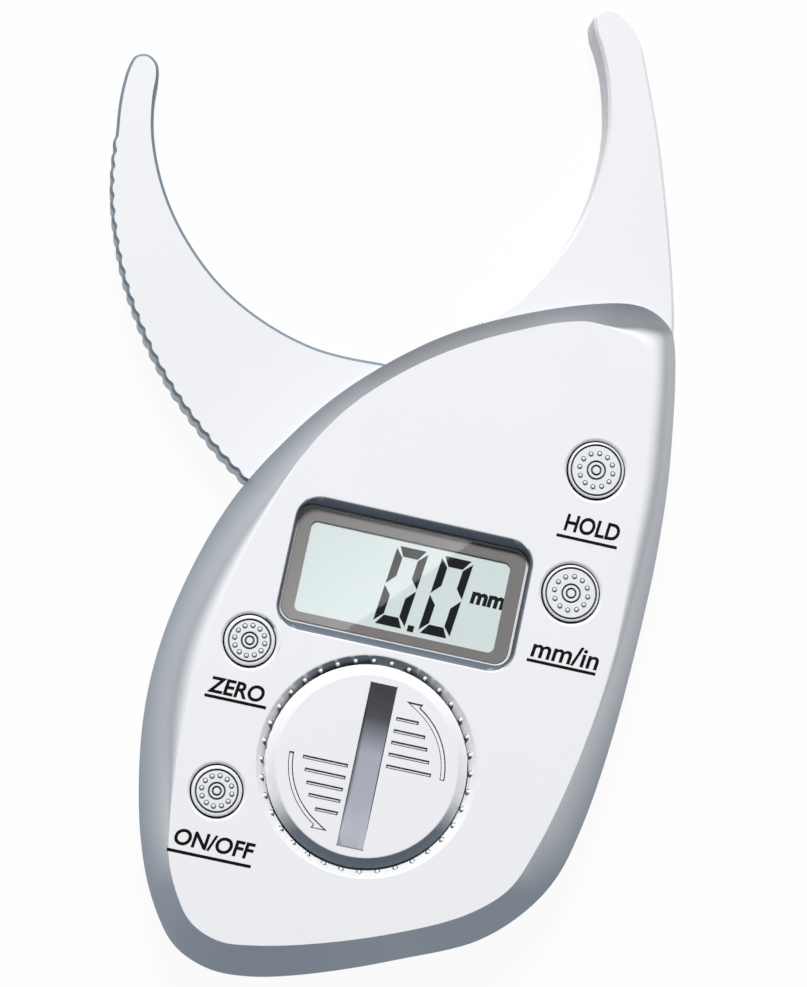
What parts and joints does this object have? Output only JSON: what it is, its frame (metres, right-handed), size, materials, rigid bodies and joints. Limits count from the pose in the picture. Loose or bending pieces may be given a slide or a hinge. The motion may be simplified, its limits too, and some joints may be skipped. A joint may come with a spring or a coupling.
{
  "type": "skinfold caliper",
  "caption": "Digital skinfold caliper: moulded case with a fixed jaw, a sprung thumb jaw, a display window, push buttons and a coin-slot battery lid.",
  "frame": {"origin": "pivot axis of the moving jaw, on the flat back face of the case", "axes": "+X along the display towards the wide buttons, +Y towards the jaws, +Z out of the front face"},
  "size_m": [0.1242, 0.206, 0.0233],
  "materials": {
    "shell_plastic": "satin white moulded ABS",
    "jaw_plastic": "satin white moulded ABS",
    "lid_plastic": "satin white moulded ABS",
    "button_plastic": "satin light grey moulded ABS",
    "window_acrylic": "clear acrylic with a printed grey-brown border",
    "display_glass": "pale grey-green reflective display",
    "silicone_rubber": "matt silicone",
    "circuit_board": "green solder mask",
    "black_resin": "black epoxy",
    "black_nylon": "matt black nylon",
    "spring_steel": "bright spring steel",
    "cell_steel": "nickel-plated steel",
    "screw_steel": "zinc-plated steel",
    "sensor_brass": "gold-flashed copper on glass-fibre"
  },
  "bodies": {
    "case": {"back_cover": "shell_plastic", "front_cover": "shell_plastic", "display_window": "window_acrylic", "lcd_panel": "display_glass", "zebra_strip_upper": "silicone_rubber", "zebra_strip_lower": "silicone_rubber", "main_board": "circuit_board", "chip_cover": "black_resin", "battery_holder": "black_nylon", "battery_clip": "spring_steel", "battery_spring_contact": "spring_steel", "coin_cell": "cell_steel", "pivot_washer": "spring_steel", "torsion_spring": "spring_steel", "pivot_screw": "screw_steel", "hold_switch": "black_nylon", "unit_switch": "black_nylon", "zero_switch": "black_nylon", "power_switch": "black_nylon", "case_screw_1": "screw_steel", "case_screw_2": "screw_steel", "case_screw_3": "screw_steel", "case_screw_4": "screw_steel", "case_screw_5": "screw_steel", "board_screw_1": "screw_steel", "board_screw_2": "screw_steel", "board_screw_3": "screw_steel"},
    "moving_jaw": {"moving_jaw": "jaw_plastic", "angle_sensor_strip": "sensor_brass"},
    "battery_lid": {"battery_lid": "lid_plastic"},
    "hold_button": {"hold_button": "button_plastic", "hold_plunger": "black_nylon"},
    "unit_button": {"unit_button": "button_plastic", "unit_plunger": "black_nylon"},
    "zero_button": {"zero_button": "button_plastic", "zero_plunger": "black_nylon"},
    "power_button": {"power_button": "button_plastic", "power_plunger": "black_nylon"}
  },
  "joints": [
    {"name": "jaw_pivot", "type": "hinge", "parent": "case", "child": "moving_jaw", "pos_m": [0, 0, 0.0069], "axis": [0, 0, -1], "range_deg": [0, 52], "stiffness_Nm_per_rad": 0.12, "springref_deg": -20.05, "deforming": ["torsion_spring"]},
    {"name": "lid_turn", "type": "hinge", "parent": "case", "child": "battery_lid", "pos_m": [0, -0.056, 0.0232], "axis": [0, 0, 1], "range_deg": [0, 30]},
    {"name": "hold_press", "type": "slide", "parent": "case", "child": "hold_button", "axis": [0, 0, -1], "range_m": [0, 0.0003], "stiffness_N_per_m": 200, "springref_m": -0.0005},
    {"name": "unit_press", "type": "slide", "parent": "case", "child": "unit_button", "axis": [0, 0, -1], "range_m": [0, 0.0003], "stiffness_N_per_m": 200, "springref_m": -0.0005},
    {"name": "zero_press", "type": "slide", "parent": "case", "child": "zero_button", "axis": [0, 0, -1], "range_m": [0, 0.0003], "stiffness_N_per_m": 200, "springref_m": -0.0005},
    {"name": "power_press", "type": "slide", "parent": "case", "child": "power_button", "axis": [0, 0, -1], "range_m": [0, 0.0003], "stiffness_N_per_m": 200, "springref_m": -0.0005}
  ]
}
